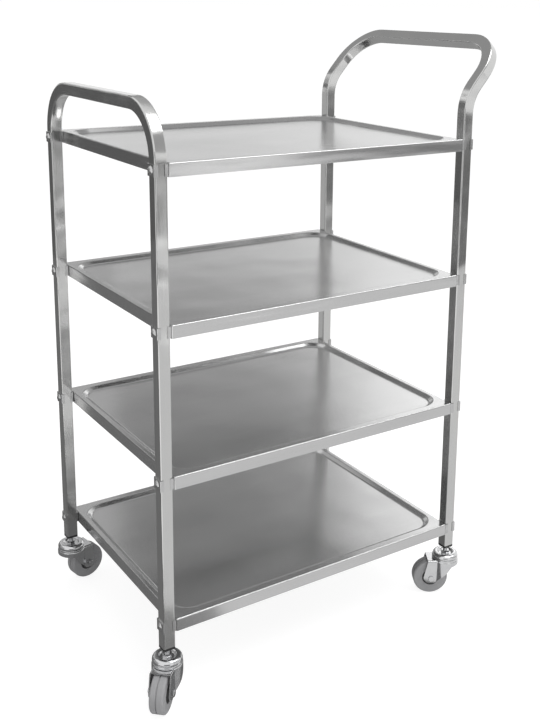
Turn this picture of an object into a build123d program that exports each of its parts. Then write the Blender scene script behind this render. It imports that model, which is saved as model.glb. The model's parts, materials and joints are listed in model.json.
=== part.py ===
from build123d import *
import math
import os

# A four-tier trolley: two bent-tube end frames carry four tray shelves on bolts and
# roll on four swivel casters. Millimetres, +Z up, the handle is at +X.

# Square tube of the end frames
tube = 25.0
tube_wall = 1.2
tube_corner = 3.0
frame_length = 740.0  # over the outer faces of the legs, along X
frame_width = 535.0  # over the outer faces of the legs, along Y
leg_drop = 58.0  # from the bottom shelf's rim down to the end of the tube

# Tops of the end frames, heights above the top shelf's rim
left_rise = 110.0  # to the upper face of the left bar
left_bend = 96.0  # radius of the tube's centre line
handle_rise = 85.84  # to where the upright and the leaning centre lines cross
handle_bend = 90.0
handle_lean = 41.5  # degrees from upright
handle_reach = 150.84  # along the lean, from that crossing to the middle of the bar
handle_corner = 87.0

# Pressed-sheet shelves
shelf_count = 4
shelf_pitch = 297.0
shelf_proud = 2.0  # how far the shelf stands out past the legs, front and back
sheet = 1.0
flange = 25.5
side_rim = 18.0  # width of the rim along the two long sides
end_rim = 11.0  # and at the two ends, beside the legs
recess = 7.0
recess_slope = 10.0  # run of the sloping wall
recess_corner = 50.0
edge_bend = 2.5  # outer radius of the bend between rim and flange
rim_bend = 5.0  # outer radius where the rim turns down into the recess
floor_bend = 8.0  # inner radius where the recess wall meets the deck
hem = 9.0
hem_cut = 16.0  # the hem stops this far from each corner

# Bolted leg joints
bolt = 8.0
bolt_hole_gap = 0.25
thread_gap = 0.05
head = 17.0
head_height = 4.7
head_socket = 5.0  # across flats
socket_depth = 2.6
nut = 13.0  # across flats
nut_height = 6.5
bolt_past = 2.0  # thread that shows past the nut
hex_turned_in = 1.2  # chamfer on the corners of nuts and hexagon heads
hex_turned_down = 0.7
saddle_web = 2.0
saddle_tab = 6.0
saddle_tab_wall = 1.5
saddle_height = 22.0
saddle_corner = 2.0

# Plugs in the lower ends of the legs
plug_flange = 5.0
plug_depth = 30.0
plug_gap = 0.1

# Casters
stem = 10.0
stem_grip = 26.0  # length of stem inside the plug
stem_reach = 25.5  # from the crown to the underside of the plug
lock_nut = 17.0  # across flats
lock_nut_height = 8.0
wheel = 80.0
wheel_width = 29.0
trail = 35.0
tyre_bore = 39.0
tyre_shoulder = 4.5
tread_groove = 2.4
tread_groove_depth = 2.0
hub_recess = 4.0  # how far the hub's web lies inside the tyre's side face
hub_boss = 21.0
hub_end_gap = 0.5
running_gap = 0.05
axle = 8.0
axle_sleeve = 12.0
axle_head = 12.0  # across flats
axle_head_height = 4.0
axle_nut_height = 5.0
axle_past = 1.0
fork_sheet = 2.5
fork_gap = 39.0  # between the inner faces of the fork's legs
fork_bend = 4.0  # outer radius of the bend between the plate and the wall round it
fork_neck = 5.0  # radius where the round wall runs into the flat legs
crown = 62.0
crown_step = 1.0  # the raised crown stands this far inside the edge of the round plate
crown_raise = 3.0
crown_edge = 2.0
wheel_headroom = 2.5  # between the tyre and the underside of the plate
leg_front = 43.0  # front edge of the plate, from the swivel axis
leg_foot = 18.0  # half width of a fork leg at the axle
leg_foot_drop = 11.0  # fork leg below the axle
leg_rear_drop = 11.5  # height of the wall at its rear, from the plate's top
leg_hollow = 11.0  # where the wall's lower edge turns down, behind the swivel axis
leg_hollow_drop = 13.0
leg_knee = 3.0  # where it turns forward to the axle, ahead of the swivel axis
leg_knee_drop = 31.0
leg_round = 4.0  # radius of those two turns
pin_head = 18.0
pin_head_height = 2.0
pin_head_gap = 0.4
ball = 7.938
ball_gap = 0.15
ball_count = 16
ball_circle = 46.0
cap = 60.0
cap_sheet = 2.5
cap_dish = 29.0  # flat dish in the middle of the cap
cap_dish_depth = 4.5
cap_dish_draft = 3.5  # how far the wall of the dish leans out
cap_round = 8.0  # outer radius of the cap's shoulder
cap_race_round = 4.5  # inner radius of that shoulder, over the balls
cap_race_wall = 37.0  # inner wall of the race
cap_lip = 4.0  # radius where the cap's ring turns down into the dish
cap_floor_bend = 2.0  # radius at the foot of the dish's wall
cap_lift = 1.2  # open groove between cap and crown

# Caster headings in the stored pose, in degrees about +Z; 0 trails towards +X
headings = {
    "front_left": 226.0,
    "rear_left": 10.0,
    "front_right": 150.0,
    "rear_right": 46.0,
}

# Heights that follow, measured from the floor
axle_height = wheel / 2
crown_bottom = wheel + wheel_headroom
plate_top = crown_bottom + fork_sheet
crown_top = plate_top + crown_raise
leg_rear_low = plate_top - leg_rear_drop
leg_hollow_low = plate_top - leg_hollow_drop
leg_knee_low = plate_top - leg_knee_drop
leg_foot_low = axle_height - leg_foot_drop
race_top = crown_top + ball + 2 * ball_gap
cap_crest = race_top + cap_sheet
dish_top = cap_crest - cap_dish_depth
dish_under = dish_top - cap_sheet
plug_bottom = crown_top + stem_reach
leg_bottom = plug_bottom + plug_flange
first_rim = leg_bottom + leg_drop
last_rim = first_rim + (shelf_count - 1) * shelf_pitch
rims = [first_rim + i * shelf_pitch for i in range(shelf_count)]

# Places that follow
leg_x = (frame_length - tube) / 2
leg_y = (frame_width - tube) / 2
shelf_length = frame_length - 2 * (tube + saddle_web)
shelf_width = frame_width + 2 * shelf_proud
bolt_drop = flange / 2  # bolts sit at the middle of the flange
fork_width = fork_gap + 2 * fork_sheet


def hexagon(across_flats):
    return RegularPolygon(across_flats / 2, 6, major_radius=False)


def disc(diameter, height):
    return extrude(Circle(diameter / 2), height)


def rounded_disc(diameter, height, edge):
    body = disc(diameter, height)
    return fillet(body.edges().group_by(Axis.Z)[-1], edge)


def tube_section():
    bore = tube - 2 * tube_wall
    inside = RectangleRounded(bore, bore, tube_corner - tube_wall)
    return RectangleRounded(tube, tube, tube_corner) - inside


def bent_tube(start, runs):
    """Square tube along straight runs and bends, from a starting location.

    A run is a length. A bend is (spin, radius, angle): the tube's own X axis spins about
    its direction, and then the tube turns towards that axis.
    """
    here = start
    pieces = []
    for run in runs:
        if isinstance(run, tuple):
            spin, radius, angle = run
            here = here * Rot(0, 0, spin)
            pieces.append(here * revolve(tube_section(), Axis((radius, 0, 0), (0, 1, 0)), angle))
            here = here * Pos(radius, 0, 0) * Rot(0, angle, 0) * Pos(-radius, 0, 0)
        else:
            pieces.append(here * extrude(tube_section(), run))
            here = here * Pos(0, 0, run)
    return pieces[0] + pieces[1:]


def leg_holes(x):
    """The bolt holes through both legs of the frame at x."""
    drill = Rot(0, 90, 0) * Cylinder(bolt / 2 + bolt_hole_gap, 2 * tube)
    return [Pos(x, side * leg_y, z - bolt_drop) * drill for side in (-1, 1) for z in rims]


def left_frame():
    upright = last_rim + left_rise - tube / 2 - left_bend - leg_bottom
    across = 2 * (leg_y - left_bend)
    runs = [upright, (90, left_bend, 90), across, (0, left_bend, 90), upright]
    return bent_tube(Pos(-leg_x, -leg_y, leg_bottom), runs) - leg_holes(-leg_x)


def handle_frame():
    bend_start = handle_bend * math.tan(math.radians(handle_lean / 2))
    upright = last_rim + handle_rise - bend_start - leg_bottom
    lean_run = handle_reach - bend_start - handle_corner
    across = 2 * (leg_y - handle_corner)
    runs = [
        upright,
        (0, handle_bend, handle_lean),
        lean_run,
        (90, handle_corner, 90),
        across,
        (0, handle_corner, 90),
        lean_run,
        (-90, handle_bend, handle_lean),
        upright,
    ]
    return bent_tube(Pos(leg_x, -leg_y, leg_bottom), runs) - leg_holes(leg_x)


def flanged_block(length, width, bend):
    """A block as deep as the flange, top at z = 0, rounded along its top and upright edges."""
    block = Box(length, width, flange, align=(Align.CENTER, Align.CENTER, Align.MAX))
    edges = block.edges().filter_by(Axis.Z) + block.faces().sort_by(Axis.Z)[-1].edges()
    return fillet(edges, bend)


def dish(grow, depth, bottom_bend):
    """The recess as a solid: grow widens it all round, depth is measured from the rim."""
    top_length = shelf_length - 2 * end_rim + 2 * grow
    top_width = shelf_width - 2 * side_rim + 2 * grow
    inset = recess_slope * depth / recess
    mouth = RectangleRounded(top_length, top_width, recess_corner + grow)
    deck = RectangleRounded(top_length - 2 * inset, top_width - 2 * inset, recess_corner + grow - inset)
    body = loft([mouth, Pos(0, 0, -depth) * deck], ruled=True)
    return fillet(body.faces().sort_by(Axis.Z)[0].edges(), bottom_bend)


def shelf():
    """One tray shelf, centred in plan, with its rim at z = 0."""
    wall_lean = math.atan2(recess_slope, recess)
    skin = flanged_block(shelf_length, shelf_width, edge_bend)
    inside = flanged_block(shelf_length - 2 * sheet, shelf_width - 2 * sheet, edge_bend - sheet)
    pan = dish(sheet / math.cos(wall_lean), recess + sheet, floor_bend + sheet)
    tray = skin - Pos(0, 0, -sheet) * inside + pan - dish(0, recess, floor_bend)
    tray = fillet(tray.faces().sort_by(Axis.Z)[-1].inner_wires()[0].edges(), rim_bend)
    low = -flange + sheet / 2
    for side in (-1, 1):
        long_hem = Box(shelf_length - 2 * hem_cut, hem, sheet)
        end_hem = Box(hem, shelf_width - 2 * hem_cut, sheet)
        tray += Pos(0, side * (shelf_width - hem) / 2, low) * long_hem
        tray += Pos(side * (shelf_length - hem) / 2, 0, low) * end_hem
    drill = Rot(0, 90, 0) * Cylinder(bolt / 2 + bolt_hole_gap, 2 * end_rim)
    for end in (-1, 1):
        tray -= [Pos(end * shelf_length / 2, side * leg_y, -bolt_drop) * drill for side in (-1, 1)]
    return tray


def domed_bolt():
    """Bolt along -Z with its head's seat at z = 0 and a hexagonal socket in the dome."""
    dome_radius = ((head / 2) ** 2 + head_height**2) / (2 * head_height)
    dome = Pos(0, 0, head_height - dome_radius) * Sphere(dome_radius)
    dome &= extrude(Circle(head), head_height)
    grip = 2 * saddle_web + tube + sheet + nut_height + bolt_past
    socket = Pos(0, 0, head_height - socket_depth) * extrude(hexagon(head_socket), head_height)
    return dome + Pos(0, 0, -grip) * disc(bolt, grip) - socket


def hex_head(across_flats, height):
    """Hexagon on +Z with its seat at z = 0 and its corners turned down."""
    turned = Pos(0, 0, height / 2) * Cylinder(across_flats / math.sqrt(3), height)
    turned = chamfer(turned.edges().filter_by(GeomType.CIRCLE), hex_turned_down, hex_turned_in)
    return extrude(hexagon(across_flats), height) & turned


def hex_nut(across_flats, height, bore):
    return hex_head(across_flats, height) - disc(bore, height)


def saddle():
    """U-shaped saddle: web on +Z of the leg's face at z = 0, tabs down the leg's sides."""
    wide = tube + 2 * saddle_tab_wall
    block = Pos(0, 0, (saddle_web - saddle_tab) / 2) * Box(saddle_height, wide, saddle_web + saddle_tab)
    block = fillet(block.faces().sort_by(Axis.Z)[-1].edges().filter_by(Axis.X), saddle_corner)
    channel = Pos(0, 0, -saddle_tab / 2) * Box(saddle_height, tube, saddle_tab)
    return block - channel - Pos(0, 0, -saddle_tab) * disc(bolt + 2 * bolt_hole_gap, 2 * saddle_tab)


def leg_joints(end):
    """Bolts, saddles and nuts of the eight joints at one end; end is -1 or 1 along X."""
    out = Rot(0, 90 * end, 0)
    back = Rot(0, -90 * end, 0)
    seats = [(side * leg_y, z - bolt_drop) for side in (-1, 1) for z in rims]
    outer_face = end * frame_length / 2
    inner_face = end * (frame_length / 2 - tube)
    nut_face = end * (shelf_length / 2 - sheet)
    bolt_face = outer_face + end * saddle_web
    spread = {
        "bolts": (domed_bolt(), bolt_face, out),
        "outer_saddles": (saddle(), outer_face, out),
        "inner_saddles": (saddle(), inner_face, back),
        "nuts": (hex_nut(nut, nut_height, bolt + 2 * thread_gap), nut_face, back),
    }
    return {
        name: Compound(children=[Pos(x, y, z) * turn * piece for y, z in seats])
        for name, (piece, x, turn) in spread.items()
    }


def leg_plug():
    """Plastic plug with its flange under the tube; z is measured from the floor."""
    bore = tube - 2 * tube_wall - 2 * plug_gap
    flange_plate = extrude(RectangleRounded(tube, tube, tube_corner), plug_flange)
    body = extrude(RectangleRounded(bore, bore, tube_corner - tube_wall), plug_flange + plug_depth)
    stem_hole = disc(stem + 2 * thread_gap, plug_flange + plug_depth)
    return Pos(0, 0, plug_bottom) * (flange_plate + body - stem_hole)


def caster_stem():
    """Threaded stem whose lower end is the swivel pin, headed under the crown."""
    head_top = crown_top - fork_sheet - pin_head_gap
    pin = Pos(0, 0, head_top - pin_head_height) * disc(pin_head, pin_head_height)
    top = plug_bottom + stem_grip
    return pin + Pos(0, 0, head_top) * disc(stem, top - head_top)


def caster_cap():
    """Round pressed cap, fixed on the stem: a rounded ring over the balls and a dish inside it."""
    bore = stem / 2 + thread_gap
    skirt = cap / 2 - cap_sheet
    skirt_bottom = crown_top + cap_lift
    foot = cap_dish / 2
    mouth = foot + cap_dish_draft
    corners = {
        "bore_low": (bore, dish_under),
        "race_foot": (cap_race_wall / 2, dish_under),
        "race_inner": (cap_race_wall / 2, race_top),
        "race_outer": (skirt, race_top),
        "skirt_inner": (skirt, skirt_bottom),
        "skirt_outer": (cap / 2, skirt_bottom),
        "shoulder": (cap / 2, cap_crest),
        "lip": (mouth, cap_crest),
        "foot": (foot, dish_top),
        "bore_high": (bore, dish_top),
    }
    bends = {"race_outer": cap_race_round, "shoulder": cap_round, "lip": cap_lip, "foot": cap_floor_bend}
    profile = make_face(Polyline(*corners.values(), close=True))
    for name, radius in bends.items():
        profile = fillet(profile.vertices().sort_by_distance((*corners[name], 0))[0], radius)
    return revolve(Rot(90, 0, 0) * profile, Axis.Z)


def on_axle():
    """Location at the axle's middle with its Z along the axle."""
    return Pos(trail, 0, axle_height) * Rot(-90, 0, 0)


def fork_outline():
    """Side view of the fork, as a prism across it: plate on top, two legs swept forward to the axle."""
    hollow = (-leg_hollow, leg_hollow_low)
    knee = (leg_knee, leg_knee_low)
    side = make_face(
        Polyline(
            (-crown / 2, plate_top),
            (-crown / 2, leg_rear_low),
            hollow,
            knee,
            (trail - leg_foot, axle_height),
            (trail - leg_foot / 2, leg_foot_low),
            (trail + leg_foot / 2, leg_foot_low),
            (trail + leg_foot, axle_height),
            (leg_front, crown_bottom),
            (leg_front, plate_top),
            close=True,
        )
    )
    side = fillet(side.vertices().sort_by(Axis.Y)[:4], leg_foot / 2)
    turns = [side.vertices().sort_by_distance((*corner, 0))[0] for corner in (hollow, knee)]
    side = fillet(turns, leg_round)
    return Rot(90, 0, 0) * extrude(side, crown / 2, both=True)


def fork_block(inset):
    """The fork as a solid block, drawn in all round by inset: a round crown with the strip of the legs."""
    reach = trail + 2 * leg_foot + inset
    strip = Pos(reach / 2, 0) * Rectangle(reach, fork_width - 2 * inset)
    plan = Circle(crown / 2 - inset) + strip
    necks = plan.vertices().sort_by(Axis.X)[:2]
    plan = fillet(necks, fork_neck + inset)
    block = Pos(0, 0, leg_foot_low) * extrude(plan, plate_top - inset - leg_foot_low)
    return fillet(block.edges().group_by(Axis.Z)[-1], fork_bend - inset)


def caster_fork():
    """Stamped fork: a raised crown on a plate whose round wall runs out into two flat legs."""
    body = (fork_block(0) - fork_block(fork_sheet)) & fork_outline()
    raised = crown - 2 * crown_step
    body += Pos(0, 0, crown_bottom) * rounded_disc(raised, crown_top - crown_bottom, crown_edge)
    body -= Pos(0, 0, crown_bottom) * disc(raised - 2 * fork_sheet, crown_raise)
    body -= Pos(0, 0, crown_bottom) * disc(stem + 2 * running_gap, 2 * (crown_top - crown_bottom))
    return body - on_axle() * Cylinder(axle / 2 + thread_gap, 2 * fork_width)


def ball_set():
    height = crown_top + ball_gap + ball / 2
    places = PolarLocations(ball_circle / 2, ball_count)
    return Compound(children=[Pos(0, 0, height) * place * Sphere(ball / 2) for place in places])


def axle_bolt():
    seat = fork_width / 2
    tip = -seat - axle_nut_height - axle_past
    shank = Pos(0, 0, tip) * disc(axle, seat - tip)
    return on_axle() * (shank + Pos(0, 0, seat) * hex_head(axle_head, axle_head_height))


def axle_nut():
    body = hex_nut(axle_head, axle_nut_height, axle + 2 * thread_gap)
    return on_axle() * Pos(0, 0, -fork_width / 2) * Rot(180, 0, 0) * body


def sleeve():
    ring = Circle(axle_sleeve / 2) - Circle(axle / 2 + thread_gap)
    return on_axle() * Pos(0, 0, -fork_gap / 2) * extrude(ring, fork_gap)


def wheel_hub():
    web = wheel_width - 2 * hub_recess
    boss = fork_gap - 2 * hub_end_gap
    blank = Cylinder(tyre_bore / 2, web) + Cylinder(hub_boss / 2, boss)
    return on_axle() * (blank - Cylinder(axle_sleeve / 2 + running_gap, boss))


def wheel_tyre():
    depth = (wheel - tyre_bore) / 2
    ring = Pos(tyre_bore / 2 + depth / 2, 0) * Rectangle(depth, wheel_width)
    ring = fillet(ring.vertices().sort_by(Axis.X)[-2:], tyre_shoulder)
    ring -= Pos(wheel / 2, 0) * Rectangle(2 * tread_groove_depth, tread_groove)
    return on_axle() * revolve(Rot(90, 0, 0) * ring, Axis.Z)


def caster():
    """The pieces of one caster and its leg plug, on the swivel axis; fixed ones don't turn."""
    stem_nut = hex_nut(lock_nut, lock_nut_height, stem + 2 * thread_gap)
    fixed = {
        "leg_plug": leg_plug(),
        "caster_stem": caster_stem(),
        "caster_lock_nut": Pos(0, 0, dish_top) * stem_nut,
        "caster_cap": caster_cap(),
    }
    turning = {
        "caster_fork": caster_fork(),
        "caster_balls": ball_set(),
        "axle_bolt": axle_bolt(),
        "axle_nut": axle_nut(),
        "axle_sleeve": sleeve(),
        "wheel_hub": wheel_hub(),
        "wheel_tyre": wheel_tyre(),
    }
    return fixed, turning


pieces = {"left_frame": left_frame(), "handle_frame": handle_frame()}

one_shelf = shelf()
for name, z in zip(("bottom", "lower", "upper", "top"), rims):
    pieces["shelf_" + name] = Pos(0, 0, z) * one_shelf

for name, end in (("left", -1), ("right", 1)):
    for kind, group in leg_joints(end).items():
        pieces[name + "_" + kind] = group

fixed_pieces, turning_pieces = caster()
for corner, heading in headings.items():
    x = leg_x if corner.endswith("right") else -leg_x
    y = leg_y if corner.startswith("rear") else -leg_y
    for name, piece in fixed_pieces.items():
        pieces[name + "_" + corner] = Pos(x, y, 0) * piece
    for name, piece in turning_pieces.items():
        pieces[name + "_" + corner] = Pos(x, y, 0) * Rot(0, 0, heading) * piece

# The origin is on the floor, under the middle of the whole trolley's box
middle = Compound(list(pieces.values())).bounding_box().center()
to_origin = Pos(-round(middle.X, 2), -round(middle.Y, 2), 0)
print("swivel axes at x", leg_x + to_origin.position.X, -leg_x + to_origin.position.X, "y", leg_y)
print("shelf rims at z", rims)

os.makedirs("parts", exist_ok=True)
for name, piece in pieces.items():
    export_step(to_origin * piece, "parts/" + name + ".step")
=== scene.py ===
# %% [markdown]
# # A four-tier steel trolley
# The trolley comes in as a finished set of solids: two bent-tube end frames, four pressed trays, their
# bolts and four swivel casters. This lesson gives them light, a camera, surfaces that look like steel,
# zinc, rubber and plastic, and the small repeated details that are easier to grow in Blender than to draw
# as solids.

# %% Load the trolley
import json
import math

import bpy
from mathutils import Matrix, Vector


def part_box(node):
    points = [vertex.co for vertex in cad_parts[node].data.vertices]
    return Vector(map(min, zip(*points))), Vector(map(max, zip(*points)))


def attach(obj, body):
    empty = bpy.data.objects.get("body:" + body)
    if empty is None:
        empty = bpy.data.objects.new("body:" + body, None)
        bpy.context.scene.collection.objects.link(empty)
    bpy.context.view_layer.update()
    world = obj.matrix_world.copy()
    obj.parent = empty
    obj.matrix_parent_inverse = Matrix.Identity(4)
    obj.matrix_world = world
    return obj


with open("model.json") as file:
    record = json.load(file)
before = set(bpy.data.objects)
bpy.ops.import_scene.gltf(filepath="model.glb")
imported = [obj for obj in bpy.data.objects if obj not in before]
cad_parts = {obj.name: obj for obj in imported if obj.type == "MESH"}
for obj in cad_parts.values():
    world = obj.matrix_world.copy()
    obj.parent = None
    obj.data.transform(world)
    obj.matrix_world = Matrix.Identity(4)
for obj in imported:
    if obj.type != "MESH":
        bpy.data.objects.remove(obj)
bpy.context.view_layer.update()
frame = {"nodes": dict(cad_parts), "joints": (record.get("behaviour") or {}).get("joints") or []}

nodes = frame["nodes"]

# %% [markdown]
# ## The camera
# A photograph of a product is often cropped, so its optical middle isn't the middle of the picture.
# Blender's camera can do the same with its lens shift. The place, the angles and the focal length below
# come from matching the straight edges of the trolley to their lines in the picture.

# %% Camera
image_width, image_height = 540, 720
focal_pixels = 1022.9
optical_middle = (320.0, 230.0)
camera_place = (-1.1519, -1.8761, 1.3431)
turn, rise, roll = (math.radians(angle) for angle in (-34.46, 12.48, 0.91))

back = Vector((math.sin(turn) * math.cos(rise), -math.cos(turn) * math.cos(rise), math.sin(rise)))
right = (-back).cross(Vector((0, 0, 1))).normalized()
up = right.cross(-back)
rolled_right = math.cos(roll) * right + math.sin(roll) * up
rolled_up = math.cos(roll) * up - math.sin(roll) * right

lens = bpy.data.cameras.new("camera")
lens.sensor_width = 36.0
lens.lens = focal_pixels * lens.sensor_width / image_height
lens.shift_x = (image_width / 2 - optical_middle[0]) / image_height
lens.shift_y = (optical_middle[1] - image_height / 2) / image_height
lens.clip_end = 1000.0
camera = bpy.data.objects.new("camera", lens)
bpy.context.scene.collection.objects.link(camera)
looking = Matrix((rolled_right, rolled_up, back)).transposed()
camera.matrix_world = Matrix.Translation(camera_place) @ looking.to_4x4()
bpy.context.scene.camera = camera
print("lens", round(lens.lens, 2), "shift", round(lens.shift_x, 4), round(lens.shift_y, 4))

# %% [markdown]
# ## Writing shaders as sums
# A material is a graph of nodes. Long graphs are easier to read as formulas, so one small class wraps the
# output of a node: adding or multiplying two of them adds a Math node, and every other node comes from a
# single method.


# %% Shader formulas
class Wire:
    """The output of a node, which plain arithmetic can work on."""

    def __init__(self, tree, socket=None):
        self.tree = tree
        self.socket = socket

    def node(self, kind, settings, sockets, output=0):
        """Adds a node: first its settings, then a value or a wire for each named input."""
        made = self.tree.nodes.new(kind)
        for name, value in settings.items():
            setattr(made, name, value)
        for name, value in sockets.items():
            if isinstance(value, Wire):
                self.tree.links.new(value.socket, made.inputs[name])
            else:
                made.inputs[name].default_value = value
        return Wire(self.tree, made.outputs[output])

    def maths(self, operation, first, second):
        return self.node("ShaderNodeMath", {"operation": operation}, {0: first, 1: second})

    def __add__(self, other):
        return self.maths("ADD", self, other)

    def __sub__(self, other):
        return self.maths("SUBTRACT", self, other)

    def __rsub__(self, other):
        return self.maths("SUBTRACT", other, self)

    def __mul__(self, other):
        return self.maths("MULTIPLY", self, other)

    def __truediv__(self, other):
        return self.maths("DIVIDE", self, other)

    def __rtruediv__(self, other):
        return self.maths("DIVIDE", other, self)

    def __gt__(self, other):
        return self.maths("GREATER_THAN", self, other)

    def __abs__(self):
        return self.maths("ABSOLUTE", self, 0.0)

    __radd__ = __add__
    __rmul__ = __mul__

    def most(self, other):
        """The larger of the two."""
        return self.maths("MAXIMUM", self, other)

    def noise(self, per_metre, detail=3.0, rough=0.5):
        """Noise on this vector; per_metre gives how many blotches fit in a metre along X, Y and Z."""
        scaled = self.node("ShaderNodeVectorMath", {"operation": "MULTIPLY"}, {0: self, 1: per_metre})
        sockets = {"Vector": scaled, "Scale": 1.0, "Detail": detail, "Roughness": rough}
        return self.node("ShaderNodeTexNoise", {}, sockets)

    def mix(self, first, second):
        """A colour between two, by this factor."""
        return self.node("ShaderNodeMix", {"data_type": "RGBA"}, {0: self, 6: first, 7: second}, 2)

    def bump(self, height, over=None):
        """A normal that follows this wire, where 1 stands for height metres; over is the bump below it."""
        sockets = {"Height": self, "Strength": 1.0, "Distance": height}
        if over is not None:
            sockets["Normal"] = over
        return self.node("ShaderNodeBump", {}, sockets)


def new_finish(name, **uniform):
    """A material with one Principled shader; returns it, the shader's sockets and Object coordinates."""
    material = bpy.data.materials.new(name)
    material.use_nodes = True
    shader = material.node_tree.nodes["Principled BSDF"]
    for socket, value in uniform.items():
        shader.inputs[socket.replace("_", " ").title()].default_value = value
    place = Wire(material.node_tree).node("ShaderNodeTexCoord", {}, {}, "Object")
    return material, shader.inputs, place


def connect(sockets, **wires):
    """Joins wires to the shader's sockets by name, where base_color stands for Base Color."""
    for name, wire in wires.items():
        wire.tree.links.new(wire.socket, sockets[name.replace("_", " ").title()])


def end_with(tree, wire, output="Material Output"):
    """Joins a finished shader to the Surface of the tree's output node."""
    tree.links.new(wire.socket, tree.nodes[output].inputs["Surface"])


def grey(level):
    return (level, level, level, 1.0)


print("shader formulas ready")

# %% [markdown]
# ## Light
# Steel has hardly any colour of its own: it looks the way its surroundings look. Product photographers
# stand a polished object in a white room, place dark boards, called flags, where they want a face to go
# dark, and a lamp where an edge should gleam. The world here is that white room. Its plain white is seen by
# the camera and in reflections, and a softer level lights the matt surfaces.


# %% White room
def seen_directly(tree):
    """1 for rays from the camera and for reflected or refracted ones, 0 for scattered light."""
    path = Wire(tree).node("ShaderNodeLightPath", {}, {}, "Is Camera Ray")
    outputs = path.socket.node.outputs
    return path.most(Wire(tree, outputs["Is Glossy Ray"])).most(Wire(tree, outputs["Is Transmission Ray"]))


world = bpy.data.worlds.new("white_room")
bpy.context.scene.world = world
world.use_nodes = True
air = Wire(world.node_tree)
room_light = 0.55
ambient = air.node("ShaderNodeBackground", {}, {"Color": grey(1.0), "Strength": room_light})
white = air.node("ShaderNodeBackground", {}, {"Color": grey(1.0), "Strength": 1.0})
room = air.node("ShaderNodeMixShader", {}, {0: seen_directly(world.node_tree), 1: ambient, 2: white})
end_with(world.node_tree, room, "World Output")
# The Standard view keeps the white of the room a full white in the picture.
bpy.context.scene.view_settings.view_transform = "Standard"
print("world", world.name)

# %% [markdown]
# ## The floor
# The floor runs far past the picture's edge, so no horizon shows. A matt white floor would look grey,
# because only part of the light reaches it. The camera and the reflections therefore see a dimmer matt
# white with a glow added: the glow brings it close to the white of the room, and the matt part still takes
# the trolley's soft shadow.


# %% Floor
def flat_board(name, width, height):
    """A level rectangle that belongs to the set and not to the trolley."""
    mesh = bpy.data.meshes.new(name)
    corners = [(x * width / 2, y * height / 2, 0) for x, y in ((-1, -1), (1, -1), (1, 1), (-1, 1))]
    mesh.from_pydata(corners, [], [(0, 1, 2, 3)])
    board = bpy.data.objects.new(name, mesh)
    bpy.context.scene.collection.objects.link(board)
    return board


floor_width = 900.0
floor_white, shadow_white, floor_glow = 0.8, 0.3, 0.86
floor = flat_board("floor", floor_width, floor_width)
floor_paint = bpy.data.materials.new("floor_paint")
floor_paint.use_nodes = True
paint = Wire(floor_paint.node_tree)
matt = paint.node("ShaderNodeBsdfDiffuse", {}, {"Color": grey(floor_white)})
dim_matt = paint.node("ShaderNodeBsdfDiffuse", {}, {"Color": grey(shadow_white)})
glow = paint.node("ShaderNodeEmission", {}, {"Color": grey(1.0), "Strength": floor_glow})
lit = paint.node("ShaderNodeAddShader", {}, {0: dim_matt, 1: glow})
direct = seen_directly(floor_paint.node_tree)
floor_look = paint.node("ShaderNodeMixShader", {}, {0: direct, 1: matt, 2: lit})
end_with(floor_paint.node_tree, floor_look)
floor.data.materials.append(floor_paint)
print("floor", floor.dimensions.x, "m wide")

# %% [markdown]
# ## Flags and lamps for the steel
# Each board below stands where one set of faces looks by reflection from the camera's place: follow the
# line of sight to the face, mirror it there, and see where it goes. Faces towards the left look past the
# left end to the back, the front flanges look down to the floor in front, and the decks look up to the
# ceiling behind. A level below 1 darkens what the white room would show there, and a level above 1 makes a
# gleam. Only reflections see the boards, so they cast no shadow and light no matt surface.


# %% Boards
def stand(thing, place, direction):
    """Puts a board or a light at its place, with its Z axis along a direction."""
    facing = Vector(direction).to_track_quat("Z", "Y")
    thing.matrix_world = Matrix.Translation(place) @ facing.to_matrix().to_4x4()


def flag(name, middle, towards, width, height, level):
    """A board that only reflections see; towards is the point that it faces."""
    board = flat_board(name, width, height)
    stand(board, middle, Vector(towards) - Vector(middle))
    cloth = bpy.data.materials.new(name + "_cloth")
    cloth.use_nodes = True
    seen = Wire(cloth.node_tree).node("ShaderNodeEmission", {}, {"Color": grey(level), "Strength": 1.0})
    end_with(cloth.node_tree, seen)
    board.data.materials.append(cloth)
    board.visible_camera = False
    board.visible_diffuse = False
    board.visible_shadow = False
    board.visible_transmission = False


eye_height = camera_place[2]


def level_flag(name, x, y, z, width, depth, level):
    """A flag that lies level: above eye height it faces down, on the floor it faces up."""
    faced = z - 1.0 if z > eye_height else z + 1.0
    flag(name, (x, y, z), (x, y, faced), width, depth, level)


print("boards above", eye_height, "m face down")

# %% Boards on the left, for the faces towards the left end
flag("flag_left", (-1.97, 3.04, 0.45), (-0.57, -0.16, 0.45), 4.2, 1.1, 0.13)
flag("flag_left_high", (-1.6, 3.2, 1.78), (-0.2, 0.0, 1.78), 3.4, 0.55, 0.2)
flag("flag_left_middle", (-2.15, 2.96, 1.25), (-0.75, -0.24, 1.25), 0.95, 0.5, 0.2)
flag("flag_left_top", (-2.7, 2.72, 2.55), (-1.3, -0.48, 2.55), 1.6, 1.0, 0.15)
flag("flag_left_upper", (-1.48, 3.25, 2.6), (-0.08, 0.05, 2.6), 1.05, 1.0, 0.45)
flag("flag_far_left", (-3.4, 1.2, 1.2), (-0.2, 0.0, 1.2), 2.6, 2.6, 0.4)
flag("lamp_left", (-2.0, 3.0, 2.6), (0.0, 0.0, 0.9), 1.2, 0.6, 1.2)
print("left boards set")

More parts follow.
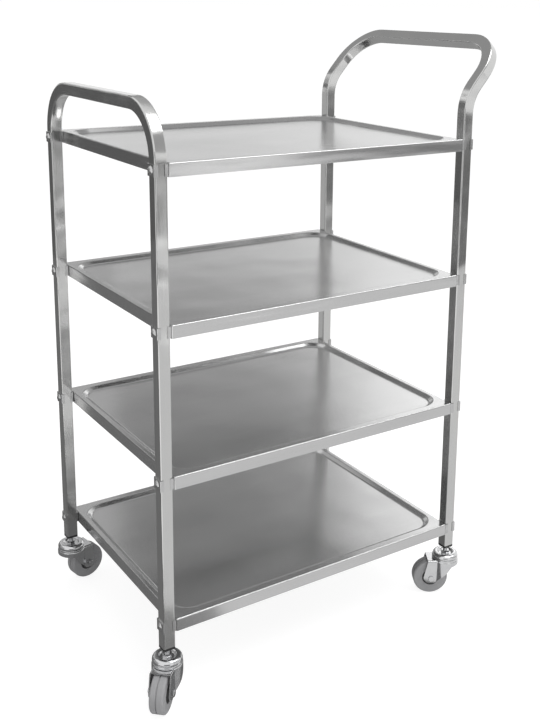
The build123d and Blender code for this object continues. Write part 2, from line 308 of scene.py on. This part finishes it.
# %% Boards in front and behind, mostly for the front faces, the recess walls and the rear right leg
flag("flag_front", (2.58, -2.08, 0.45), (0.58, 0.32, 0.45), 2.6, 0.7, 0.2)
flag("flag_front_leg", (0.99, -3.41, 0.45), (-1.01, -1.01, 0.45), 0.48, 0.7, 0.2)
flag("flag_front_leg_top", (0.99, -3.41, 0.87), (-1.01, -1.01, 0.87), 0.48, 0.14, 0.5)
flag("flag_front_left", (-1.7, -2.9, 0.75), (-0.3, 0.0, 0.75), 2.2, 1.5, 0.12)
flag("flag_front_high", (1.45, -2.2, 2.2), (0.0, 0.0, 0.6), 2.2, 1.7, 0.45)
flag("flag_behind_low", (2.1, 3.3, 0.65), (0.4, 0.0, 0.65), 3.2, 1.1, 0.2)
flag("board_behind", (-0.12, 0.95, 0.6), (0.345, 0.255, 0.6), 0.5, 1.0, 0.55)
print("front and back boards set")

# %% Boards overhead, mostly for the decks, the recess walls and the handle
ceiling = 3.3
level_flag("flag_ceiling_near", 2.2, 1.77, ceiling, 3.0, 5.25, 0.5)
level_flag("flag_ceiling_middle", 2.2, 4.9, ceiling, 3.0, 1.0, 0.11)
level_flag("flag_ceiling_far", 2.2, 6.7, ceiling, 3.0, 2.6, 0.32)
level_flag("flag_ceiling_side", 4.0, 6.0, ceiling, 0.6, 1.6, 0.4)
level_flag("flag_ceiling_back", 3.9, 8.3, ceiling + 0.05, 2.6, 3.0, 0.55)
level_flag("flag_ceiling_left", -0.175, 3.5, ceiling, 1.75, 1.6, 0.1)
level_flag("flag_over_handle", 0.37, 0.4, 1.6, 0.75, 1.1, 0.4)
level_flag("lamp_front", 1.6, -1.1, ceiling - 0.2, 2.6, 1.4, 5.0)
level_flag("lamp_right", 5.3, 4.7, ceiling + 0.1, 2.4, 2.8, 1.75)
print("overhead boards set")

# %% Boards on the floor, mostly for the flanges, the lower legs and the casters
# The small boards lie a little higher than the large ones that they partly cover.
first_layer, second_layer, third_layer = 0.004, 0.006, 0.008
level_flag("flag_floor_left", -2.1, 1.95, first_layer, 3.7, 5.1, 0.2)
level_flag("flag_floor_behind", 1.5, 1.9, first_layer, 3.5, 3.0, 0.4)
level_flag("flag_floor_front", 1.3, -1.8, first_layer, 3.5, 3.1, 0.8)
# This board is painted shadow: it darkens the floor under the trolley as reflections see it, where the
# floor's glow leaves out the trolley's shade.
level_flag("flag_floor_under", -0.02, 0.05, second_layer, 0.78, 0.7, 0.16)
# This small board is painted shadow too: a darker patch of floor by the front left caster, as reflections
# see it.
level_flag("flag_floor_corner", -0.27, -0.42, second_layer, 0.16, 0.1, 0.3)
level_flag("lamp_floor", 1.2, -2.75, third_layer, 0.5, 0.55, 1.8)
print("floor boards set")

# %% [markdown]
# ## Softboxes
# The plastics, the rubber and the floor need light of their own. Three large square lamps give it softly,
# from above, from behind the trolley and from behind the camera. Neither the camera nor the reflections see
# them, because the boards already decide what the steel shows.


# %% Softboxes
def softbox(name, place, target, size, power):
    """A square lamp at a place, turned to a target point."""
    light = bpy.data.lights.new(name, "AREA")
    light.shape = "SQUARE"
    light.size = size
    light.energy = power
    lamp = bpy.data.objects.new(name, light)
    bpy.context.scene.collection.objects.link(lamp)
    lamp.visible_camera = False
    lamp.visible_glossy = False
    stand(lamp, place, Vector(place) - Vector(target))


softbox("softbox_above", (0.6, -0.8, 3.0), (0.0, 0.0, 0.7), 2.4, 60.0)
softbox("softbox_behind", (3.0, 3.4, 2.1), (0.0, 0.0, 0.6), 1.6, 16.0)
softbox("softbox_left", (-1.2, -3.0, 1.4), (0.0, 0.0, 0.2), 1.6, 20.0)
print("softboxes set")

# %% [markdown]
# ## Polished tube
# The end frames are square stainless tube, polished along its length before it was bent. The polish leaves
# very fine lines along the tube and a haze that comes and goes, so the roughness wanders a little and a
# shallow bump draws the lines: upright on the legs, across on the two bars. A broad, low wave bends the
# reflections, because no tube is perfectly flat. A painted texture could show all this too, but noise in
# the object's own coordinates needs no unwrapping.

# %% Tube steel
tube_steel, sockets, place = new_finish("tube_steel", metallic=1.0)
height = place.node("ShaderNodeSeparateXYZ", {}, {"Vector": place}, "Z")
across = Wire(place.tree, height.socket.node.outputs["Y"])
top_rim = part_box("shelf_top")[1].z
# The bars start bar_rise above the top tray and reach bar_half_width to each side of the middle.
bar_rise, bar_half_width = 0.06, 0.17
on_bar = (height > top_rim + bar_rise) * (bar_half_width - abs(across) > 0.0)
upright_lines = place.noise((900.0, 900.0, 9.0), 2.0)
bar_lines = place.noise((900.0, 9.0, 900.0), 2.0)
lines = upright_lines * (1.0 - on_bar) + bar_lines * on_bar
haze = place.noise((9.0, 9.0, 5.0), 4.0, 0.6)
waves = place.noise((7.0, 7.0, 11.0), 1.0)
line_depth, wave_depth = 0.00004, 0.005
connect(
    sockets,
    base_color=haze.mix(grey(0.57), (0.66, 0.66, 0.65, 1.0)),
    roughness=0.09 + 0.07 * haze + 0.05 * lines,
    normal=lines.bump(line_depth, over=waves.bump(wave_depth)),
)
print("made", tube_steel.name)

# %% [markdown]
# ## Brushed tray
# The trays are pressed from brushed sheet, with the brushing along the length of the trolley. Real brushing
# is a bundle of scratches finer than a pixel, so noise is stretched nearly two hundred times along X. It
# blurs reflections more across the lines than along them. An anisotropic shader does the same, but needs a
# tangent on every face. The flanges reflect the floor as if they leaned a few degrees, so a bump that grows
# with height turns their reflections down and leaves their shape alone.

# %% Tray steel
tray_steel, sockets, place = new_finish("tray_steel", metallic=1.0)
scratches = place.noise((7.0, 1300.0, 1300.0), 2.0, 0.6)
long_streaks = place.noise((1.6, 60.0, 60.0), 2.0)
haze = place.noise((5.0, 7.0, 7.0), 3.0)
waves = place.noise((5.0, 5.0, 40.0), 1.0)
scratch_depth, wave_depth, lean_slope = 0.000012, 0.0022, 0.1
flange_lean = place.node("ShaderNodeSeparateXYZ", {}, {"Vector": place}, "Z").bump(lean_slope)
sheet_waves = waves.bump(wave_depth, over=flange_lean)
connect(
    sockets,
    base_color=(0.6 * haze + 0.4 * long_streaks).mix(grey(0.56), grey(0.66)),
    roughness=0.17 + 0.06 * haze + 0.05 * scratches,
    normal=(scratches + 0.4 * long_streaks).bump(scratch_depth, over=sheet_waves),
)
print("made", tray_steel.name)

# %% [markdown]
# ## Fasteners and casters
# Bolts, nuts and saddles are plain machined steel. The casters are zinc-plated pressings: brighter, with a
# fine orange-peel ripple in the plating that breaks up their reflections. Both finishes use one noise for
# colour and roughness and one for the bump, with smaller blotches than on the frame, because the pieces are
# small.

# %% Fastener steel and zinc
fastener_steel, sockets, place = new_finish("fastener_steel", metallic=1.0)
grain = place.noise((700.0, 700.0, 700.0), 2.0)
haze = place.noise((60.0, 60.0, 60.0), 2.0)
connect(
    sockets,
    base_color=haze.mix(grey(0.5), grey(0.64)),
    roughness=0.18 + 0.12 * haze,
    normal=grain.bump(0.00003),
)

zinc, sockets, place = new_finish("zinc", metallic=1.0)
ripple = place.noise((160.0, 160.0, 160.0), 2.0)
cloud = place.noise((45.0, 45.0, 45.0), 3.0)
connect(
    sockets,
    base_color=cloud.mix((0.61, 0.615, 0.63, 1.0), (0.75, 0.75, 0.75, 1.0)),
    roughness=0.12 + 0.12 * cloud,
    normal=ripple.bump(0.00005),
)
print("made", fastener_steel.name, zinc.name)

# %% [markdown]
# ## Plastic and rubber
# The plugs under the legs are black moulded plastic with a fine spark-eroded grain. The tyres are grey
# rubber that has picked up dust, and the hubs are a darker plastic. Dark surfaces show mostly by their
# highlights, so the roughness varies too: an even one would look like fresh enamel.

# %% Plastics and rubber
plug_plastic, sockets, place = new_finish("plug_plastic")
grain = place.noise((1500.0, 1500.0, 1500.0), 2.0)
haze = place.noise((40.0, 40.0, 40.0), 2.0)
connect(
    sockets,
    base_color=haze.mix(grey(0.012), grey(0.026)),
    roughness=0.42 + 0.15 * haze,
    normal=grain.bump(0.00004),
)

hub_plastic, sockets, place = new_finish("hub_plastic")
grain = place.noise((1200.0, 1200.0, 1200.0), 2.0)
haze = place.noise((50.0, 50.0, 50.0), 2.0)
connect(
    sockets,
    base_color=haze.mix(grey(0.07), grey(0.11)),
    roughness=0.45 + 0.15 * haze,
    normal=grain.bump(0.00004),
)

tyre_rubber, sockets, place = new_finish("tyre_rubber")
grain = place.noise((900.0, 900.0, 900.0), 3.0)
dust = place.noise((28.0, 28.0, 28.0), 4.0, 0.6)
connect(
    sockets,
    base_color=dust.mix((0.28, 0.28, 0.29, 1.0), (0.38, 0.38, 0.385, 1.0)),
    roughness=0.55 + 0.2 * dust,
    normal=grain.bump(0.00006),
)
print("made", plug_plastic.name, hub_plastic.name, tyre_rubber.name)

# %% [markdown]
# ## Giving the solids their finish
# The solids keep their shapes. Each gets the material that its name calls for, by the first match in this
# list.

# %% Assign finishes
finishes = {
    "left_frame": tube_steel,
    "handle_frame": tube_steel,
    "shelf_": tray_steel,
    "left_": fastener_steel,
    "right_": fastener_steel,
    "leg_plug_": plug_plastic,
    "wheel_hub_": hub_plastic,
    "wheel_tyre_": tyre_rubber,
    "caster_": zinc,
    "axle_": zinc,
}
for name, solid in nodes.items():
    finish = next(material for start, material in finishes.items() if name.startswith(start))
    solid.data.materials.clear()
    solid.data.materials.append(finish)
print("finished", len(nodes), "solids")

# %% [markdown]
# ## Growing details with Geometry Nodes
# Two small details repeat or follow a path: the screw thread on the four stems and the ribs inside the
# wheels. Each turn and each rib could be modelled and copied by hand, but then a change of pitch or number
# means doing it all again. A node tree keeps the sizes as named inputs and makes the shape from them. Its
# result is then stored as a plain mesh that rides on a body of the trolley.


# %% Node tree helpers
def grower(name, sizes, shape, material):
    """A node tree with these named sizes as inputs; shape wires the geometry from them."""
    tree = bpy.data.node_groups.new(name, "GeometryNodeTree")
    tree.interface.new_socket("Points", in_out="INPUT", socket_type="NodeSocketGeometry")
    for size, kind in sizes.items():
        tree.interface.new_socket(size, in_out="INPUT", socket_type="NodeSocket" + kind)
    tree.interface.new_socket("Geometry", in_out="OUTPUT", socket_type="NodeSocketGeometry")
    entry = tree.nodes.new("NodeGroupInput")
    grown = shape({socket.name: Wire(tree, socket) for socket in entry.outputs if socket.name})
    real = grown.node("GeometryNodeRealizeInstances", {}, {"Geometry": grown})
    painted = real.node("GeometryNodeSetMaterial", {}, {"Geometry": real, "Material": material})
    tree.links.new(painted.socket, tree.nodes.new("NodeGroupOutput").inputs["Geometry"])
    return tree


def grow(name, tree, points, values, body):
    """Runs the tree on a few points and keeps the result as a mesh that rides on a body."""
    seed = bpy.data.meshes.new(name + "_points")
    seed.from_pydata(points, [], [])
    piece = bpy.data.objects.new(name, seed)
    bpy.context.scene.collection.objects.link(piece)
    modifier = piece.modifiers.new("grow", "NODES")
    modifier.node_group = tree
    for item in tree.interface.items_tree:
        if item.in_out == "INPUT" and item.name in values:
            modifier[item.identifier] = values[item.name]
    grown = bpy.data.meshes.new_from_object(piece.evaluated_get(bpy.context.evaluated_depsgraph_get()))
    piece.modifiers.remove(modifier)
    piece.data = grown
    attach(piece, body)
    print("grew", name, "with", len(grown.polygons), "faces")


joints = {joint["name"]: joint for joint in frame["joints"]}
corners = [name.removeprefix("swivel_") for name in joints if name.startswith("swivel_")]
print("casters at", corners)

# %% [markdown]
# ## The thread on the stems
# Between its lock nut and the leg each caster shows about a centimetre of thread. A spiral curve with one
# turn for each pitch is swept with a small round profile, which leaves the rounded crests that worn threads
# have. One spiral stands on a point at the foot of each bare stem.


# %% Stem thread
points_per_turn = 24
crest_sides = 6


def thread_shape(size):
    turns = size["Length"] / size["Pitch"]
    path = turns.node(
        "GeometryNodeCurveSpiral",
        {},
        {
            "Resolution": points_per_turn,
            "Rotations": turns,
            "Start Radius": size["Radius"],
            "End Radius": size["Radius"],
            "Height": size["Length"],
        },
    )
    round_crest = {"Resolution": crest_sides, "Radius": size["Crest"]}
    crest = turns.node("GeometryNodeCurvePrimitiveCircle", {}, round_crest)
    sweep = {"Curve": path, "Profile Curve": crest, "Fill Caps": True}
    coil = turns.node("GeometryNodeCurveToMesh", {}, sweep)
    return coil.node("GeometryNodeInstanceOnPoints", {}, {"Points": size["Points"], "Instance": coil})


thread_inputs = dict.fromkeys(("Length", "Pitch", "Radius", "Crest"), "Float")
thread_tree = grower("stem_thread", thread_inputs, thread_shape, zinc)
thread_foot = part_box("caster_lock_nut_front_left")[1].z
thread_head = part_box("leg_plug_front_left")[0].z
# The coil runs on by thread_inside into nut and plug, and its middle lies thread_sunk inside the stem.
thread_inside = 0.0003
thread_sunk = 0.0001
stem_radius = 0.005
stem_feet = [(*joints["swivel_" + corner]["pos_m"][:2], thread_foot - thread_inside) for corner in corners]
thread_sizes = {
    "Length": thread_head - thread_foot + 2 * thread_inside,
    "Pitch": 0.0015,
    "Radius": stem_radius - thread_sunk,
    "Crest": 0.00045,
}
grow("stem_threads", thread_tree, stem_feet, thread_sizes, "frame")

# %% [markdown]
# ## Ribs in the hubs
# A moulded hub is a thin web, stiffened by ribs that stand up from it between the boss and the tyre. One
# rib is a bar whose upper edge is narrower, because a moulding needs that draft to leave its mould. A
# circle of points carries the ribs, each turned outward, and the whole star is copied to the other side of
# the web. The tree runs once for each wheel, because each wheel turns on its own.


# %% Hub ribs
def rib_shape(size):
    depth = size["Depth"]
    sides = {"X": size["Length"], "Y": size["Thickness"], "Z": depth}
    block = depth.node("ShaderNodeCombineXYZ", {}, sides)
    bar = depth.node("GeometryNodeMeshCube", {}, {"Size": block}, "Mesh")
    spot = depth.node("GeometryNodeInputPosition", {}, {})
    side = spot.node("ShaderNodeSeparateXYZ", {}, {"Vector": spot}, "Y")
    height = Wire(side.tree, side.socket.node.outputs["Z"])
    drawn_in = side * (height / depth + 0.5) * (0.0 - size["Draft"])
    slim = depth.node("ShaderNodeCombineXYZ", {}, {"Y": drawn_in})
    rib = bar.node("GeometryNodeSetPosition", {}, {"Geometry": bar, "Offset": slim})

    ring = depth.node("GeometryNodeMeshCircle", {}, {"Vertices": size["Count"], "Radius": size["Radius"]})
    outward = spot.node("FunctionNodeAlignRotationToVector", {"axis": "X"}, {"Vector": spot})
    star = ring.node(
        "GeometryNodeInstanceOnPoints", {}, {"Points": ring, "Instance": rib, "Rotation": outward}
    )
    lift = depth.node("ShaderNodeCombineXYZ", {}, {"Z": size["Web"] + depth * 0.5})
    near = star.node("GeometryNodeTransform", {}, {"Geometry": star, "Translation": lift})
    far = near.node("GeometryNodeTransform", {}, {"Geometry": near, "Rotation": (math.pi, 0.0, 0.0)})
    both = near.node("GeometryNodeJoinGeometry", {}, {"Geometry": near})
    both.tree.links.new(far.socket, both.socket.node.inputs["Geometry"])
    turned = both.node("FunctionNodeEulerToRotation", {}, {"Euler": size["Turn"]})
    return both.node(
        "GeometryNodeInstanceOnPoints", {}, {"Points": size["Points"], "Instance": both, "Rotation": turned}
    )


rib_inputs = dict.fromkeys(("Radius", "Length", "Thickness", "Depth", "Web", "Draft"), "Float")
rib_tree = grower("hub_ribs", rib_inputs | {"Count": "Int", "Turn": "Vector"}, rib_shape, hub_plastic)
rib_sizes = {
    "Radius": 0.015,
    "Length": 0.0094,
    "Thickness": 0.0016,
    "Depth": 0.003,
    "Web": 0.0105,
    "Draft": 0.35,
    "Count": 8,
}
for corner in corners:
    spin = joints["spin_" + corner]
    heading = math.atan2(-spin["axis"][0], spin["axis"][1])
    turn_of_wheel = {"Turn": (-math.pi / 2, 0.0, heading)}
    sizes = rib_sizes | turn_of_wheel
    grow("hub_ribs_" + corner, rib_tree, [spin["pos_m"]], sizes, "wheel_" + corner)
